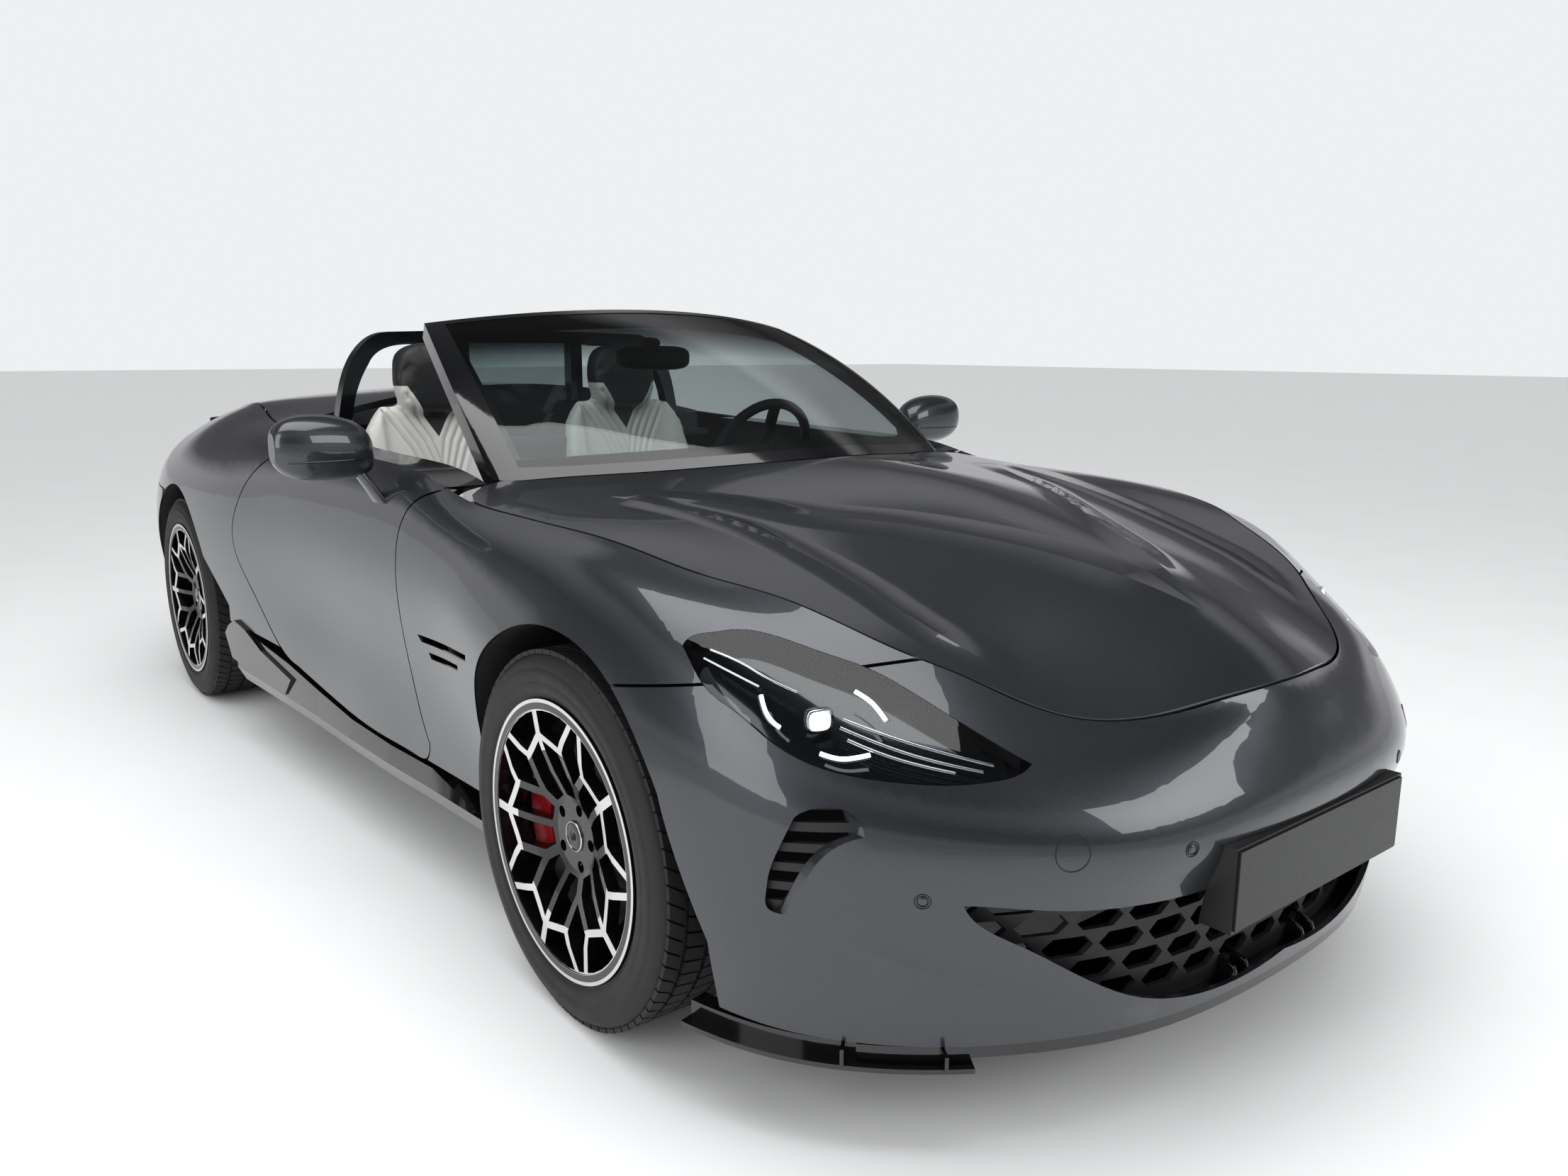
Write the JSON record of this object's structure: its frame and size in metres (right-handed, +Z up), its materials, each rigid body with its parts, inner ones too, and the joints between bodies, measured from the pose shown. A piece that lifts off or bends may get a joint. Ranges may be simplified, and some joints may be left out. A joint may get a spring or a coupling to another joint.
{
  "type": "roadster convertible",
  "caption": "Two-seat open roadster with a long nose, hinged doors that swing out and up, opening bonnet and boot lid, steered front wheels and a roll hoop behind the seats.",
  "frame": {"origin": "on the ground under the middle of the overall box", "axes": "+Z up, the nose points along -Y, the car's left side is +X"},
  "size_m": [2.188, 4.5372, 1.33],
  "materials": {
    "body_paint": "metallic grey, glossy",
    "gloss_black": "gloss",
    "dark_trim": "satin",
    "structure": "satin",
    "battery_case": "matte",
    "cast_alloy": "cast",
    "lamp_glass": "clear",
    "tail_lamp": "gloss",
    "screen_glass": "clear",
    "plate_black": "satin",
    "dash_leather": "grained",
    "steering_leather": "smooth",
    "seat_leather": "smooth",
    "boot_lining": "felt",
    "wheel_alloy": "machined and black",
    "tyre_rubber": "matte"
  },
  "bodies": {
    "body": {"front_bumper": "body_paint", "fender_left": "body_paint", "fender_right": "body_paint", "quarter_left": "body_paint", "quarter_right": "body_paint", "rear_bumper": "body_paint", "tonneau": "body_paint", "tub": "structure", "rails": "structure", "battery_block": "battery_case", "front_subframe": "cast_alloy", "rear_subframe": "cast_alloy", "headlamps": "lamp_glass", "tail_lamps": "tail_lamp", "windscreen_glass": "screen_glass", "wind_deflector": "screen_glass", "windscreen_frame": "gloss_black", "roll_hoop": "gloss_black", "side_skirts": "gloss_black", "splitter": "gloss_black", "canards": "gloss_black", "diffuser": "gloss_black", "spoiler": "gloss_black", "front_grilles": "dark_trim", "front_plate": "plate_black", "wheel_liners": "dark_trim", "scuttle": "dark_trim", "dashboard": "dash_leather", "console": "dash_leather", "seat_left": "seat_leather", "seat_right": "seat_leather", "boot_tub": "boot_lining"},
    "door_left": {"door_left": "body_paint", "mirror_left": "body_paint"},
    "door_right": {"door_right": "body_paint", "mirror_right": "body_paint"},
    "bonnet": {"bonnet": "body_paint"},
    "boot_lid": {"boot_lid": "body_paint"},
    "knuckle_left": {"knuckle_left": "cast_alloy"},
    "knuckle_right": {"knuckle_right": "cast_alloy"},
    "wheel_front_left": {"wheel_front_left": "wheel_alloy", "tyre_front_left": "tyre_rubber"},
    "wheel_front_right": {"wheel_front_right": "wheel_alloy", "tyre_front_right": "tyre_rubber"},
    "wheel_rear_left": {"wheel_rear_left": "wheel_alloy", "tyre_rear_left": "tyre_rubber"},
    "wheel_rear_right": {"wheel_rear_right": "wheel_alloy", "tyre_rear_right": "tyre_rubber"},
    "steering_wheel": {"steering_wheel": "steering_leather"}
  },
  "joints": [
    {"name": "door_left_hinge", "type": "hinge", "parent": "body", "child": "door_left", "pos_m": [0.85, -0.7, 0.96], "axis": [0.5447, 0, -0.8386], "range_deg": [0, 55]},
    {"name": "door_right_hinge", "type": "hinge", "parent": "body", "child": "door_right", "pos_m": [-0.85, -0.7, 0.96], "axis": [0.5447, 0, 0.8386], "range_deg": [0, 55]},
    {"name": "bonnet_hinge", "type": "hinge", "parent": "body", "child": "bonnet", "pos_m": [0, -0.665, 0.925], "axis": [-1, 0, 0], "range_deg": [0, 50]},
    {"name": "boot_lid_hinge", "type": "hinge", "parent": "body", "child": "boot_lid", "pos_m": [0, 1.343, 1.078], "axis": [1, 0, 0], "range_deg": [0, 70]},
    {"name": "steer_left", "type": "hinge", "parent": "body", "child": "knuckle_left", "pos_m": [0.802, -1.3175, 0.35], "axis": [0, 0, 1], "range_deg": [-33, 33]},
    {"name": "steer_right", "type": "hinge", "parent": "body", "child": "knuckle_right", "pos_m": [-0.802, -1.3175, 0.35], "axis": [0, 0, 1], "range_deg": [-33, 33]},
    {"name": "steering_wheel_turn", "type": "hinge", "parent": "body", "child": "steering_wheel", "pos_m": [0.345, -0.285, 0.912], "axis": [0, 0.9135, 0.4067], "range_deg": [-430, 430]},
    {"name": "roll_front_left", "type": "hinge", "parent": "knuckle_left", "child": "wheel_front_left", "pos_m": [0.802, -1.3175, 0.35], "axis": [1, 0, 0], "continuous": true},
    {"name": "roll_front_right", "type": "hinge", "parent": "knuckle_right", "child": "wheel_front_right", "pos_m": [-0.802, -1.3175, 0.35], "axis": [1, 0, 0], "continuous": true},
    {"name": "roll_rear_left", "type": "hinge", "parent": "body", "child": "wheel_rear_left", "pos_m": [0.803, 1.3725, 0.35], "axis": [1, 0, 0], "continuous": true},
    {"name": "roll_rear_right", "type": "hinge", "parent": "body", "child": "wheel_rear_right", "pos_m": [-0.803, 1.3725, 0.35], "axis": [1, 0, 0], "continuous": true}
  ],
  "couplings": [
    {"joint": "steer_right", "follows": "steer_left", "ratio": 1},
    {"joint": "steering_wheel_turn", "follows": "steer_left", "ratio": 13}
  ]
}
